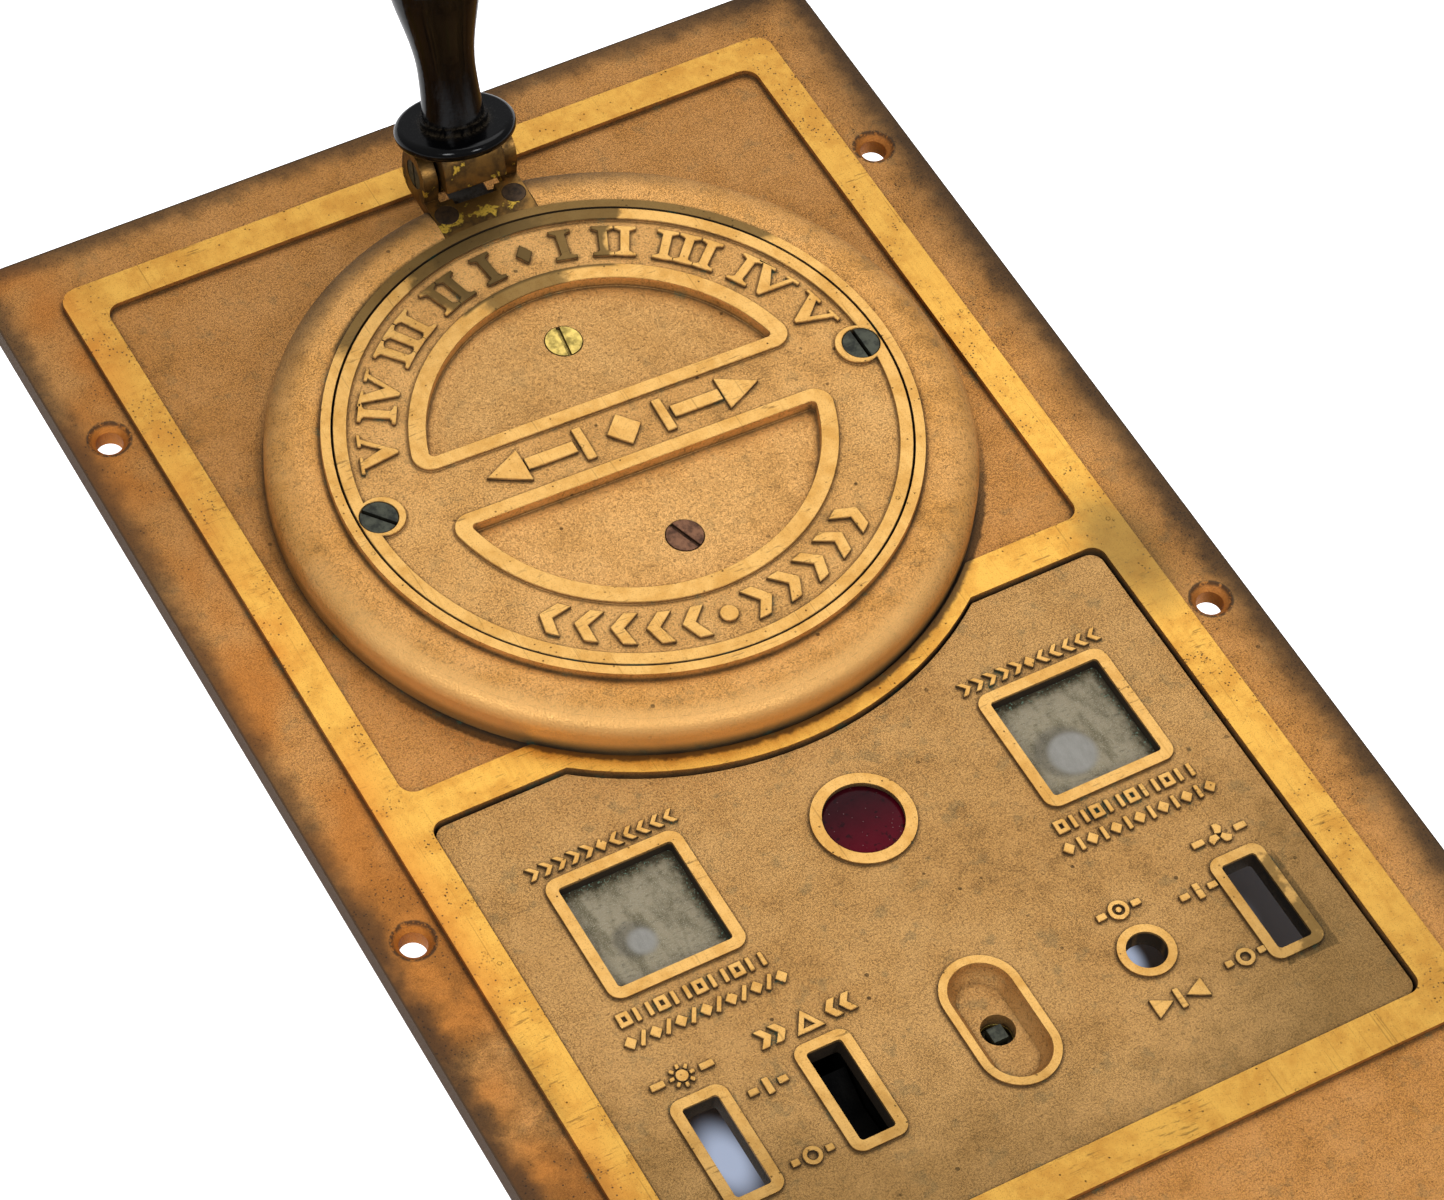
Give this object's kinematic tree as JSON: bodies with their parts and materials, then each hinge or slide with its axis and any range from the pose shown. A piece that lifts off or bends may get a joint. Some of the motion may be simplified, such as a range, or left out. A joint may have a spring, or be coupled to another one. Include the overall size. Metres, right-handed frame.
{
  "type": "lift car operating panel",
  "caption": "Cast bronze lift operating panel with a turning dial, a folding lever handle, glazed cut-out buttons, signal lens, switch slots and key cup.",
  "frame": {"origin": "centre of the mounting screw pattern, on the rim of the faceplate's back", "axes": "+Z out of the front, +Y towards the dial and lever end, +X to the right seen from the front"},
  "size_m": [0.3048, 0.5915, 0.2182],
  "materials": {
    "bronze": "cast, polished high spots over a brown patina",
    "dark_bronze": "cast, dark olive-brown patina",
    "brass": "turned, dulled",
    "copper": "drawn copper, worn bright",
    "steel": "machined, slightly tarnished",
    "dark_steel": "blackened",
    "grey_paint": "old grey paint",
    "gloss_black": "polished ebonite, lightly scuffed",
    "black_moulding": "moulded, dull",
    "fibre": "laminated board",
    "ivory": "aged, smooth",
    "rubber": "matte",
    "clear_glass": "dusty",
    "red_glass": "deep red, pressed",
    "bulb_glass": "clear"
  },
  "bodies": {
    "panel": {"faceplate": "bronze", "bearing_bush": "brass", "stop_posts": "steel", "centring_spring": "steel", "switch_plate": "bronze", "top_tongues": "steel", "left_glass": "clear_glass", "right_glass": "clear_glass", "glass_gaskets": "rubber", "left_cutout_box": "grey_paint", "right_cutout_box": "grey_paint", "cutout_box_screws": "steel", "left_contact_block": "black_moulding", "right_contact_block": "black_moulding", "lens": "red_glass", "lens_retainer": "brass", "lamp_bracket": "steel", "lamp_socket": "brass", "lamp_bulb": "bulb_glass", "safety_switch_body": "black_moulding", "safety_switch_screws": "steel", "safety_rocker_pin": "steel", "key_barrel": "brass", "finger_board": "fibre", "board_pillars": "brass", "board_screws": "steel", "contact_fingers": "copper", "terminal_screws": "brass", "left_button_spring": "steel", "right_button_spring": "steel"},
    "dial": {"dial_ring": "bronze", "cover_disc": "bronze", "cover_screws": "dark_steel", "upper_arm_screw": "brass", "lower_arm_screw": "steel", "drive_arm": "dark_bronze", "shaft": "steel", "shaft_key": "steel", "stop_arm": "dark_bronze", "segment_carrier": "black_moulding", "contact_segments": "copper", "handle_bracket": "dark_bronze", "bracket_rivets": "dark_steel", "detent_spring": "steel", "pivot_pin": "dark_steel"},
    "handle": {"handle_foot": "dark_bronze", "handle_collar": "gloss_black", "grip": "gloss_black", "grip_rod": "steel", "grip_nut": "brass"},
    "left_button": {"left_button": "ivory"},
    "right_button": {"right_button": "ivory"},
    "safety_rocker": {"safety_rocker": "black_moulding"},
    "key_latch": {"key_spindle": "dark_steel", "latch_bar": "steel"}
  },
  "joints": [
    {"name": "dial_turn", "type": "hinge", "parent": "panel", "child": "dial", "pos_m": [0, 0.129, 0], "axis": [0, 0, 1], "range_deg": [-43, 47], "stiffness_Nm_per_rad": 2.5, "deforming": ["centring_spring"]},
    {"name": "handle_fold", "type": "hinge", "parent": "dial", "child": "handle", "pos_m": [0.00418, 0.24878, 0.0294], "axis": [-0.9994, 0.0349, 0], "range_deg": [-28, 60]},
    {"name": "left_button_push", "type": "slide", "parent": "panel", "child": "left_button", "axis": [0, 0, -1], "range_m": [0, 0.005], "stiffness_N_per_m": 600, "springref_m": -0.002, "deforming": ["left_button_spring"]},
    {"name": "right_button_push", "type": "slide", "parent": "panel", "child": "right_button", "axis": [0, 0, -1], "range_m": [0, 0.005], "stiffness_N_per_m": 600, "springref_m": -0.002, "deforming": ["right_button_spring"]},
    {"name": "safety_rock", "type": "hinge", "parent": "panel", "child": "safety_rocker", "pos_m": [-0.051, -0.1036, -0.008], "axis": [1, 0, 0], "range_deg": [-18, 0]},
    {"name": "key_turn", "type": "hinge", "parent": "panel", "child": "key_latch", "pos_m": [0, -0.103, -0.005], "axis": [0, 0, 1], "range_deg": [0, 60]}
  ]
}
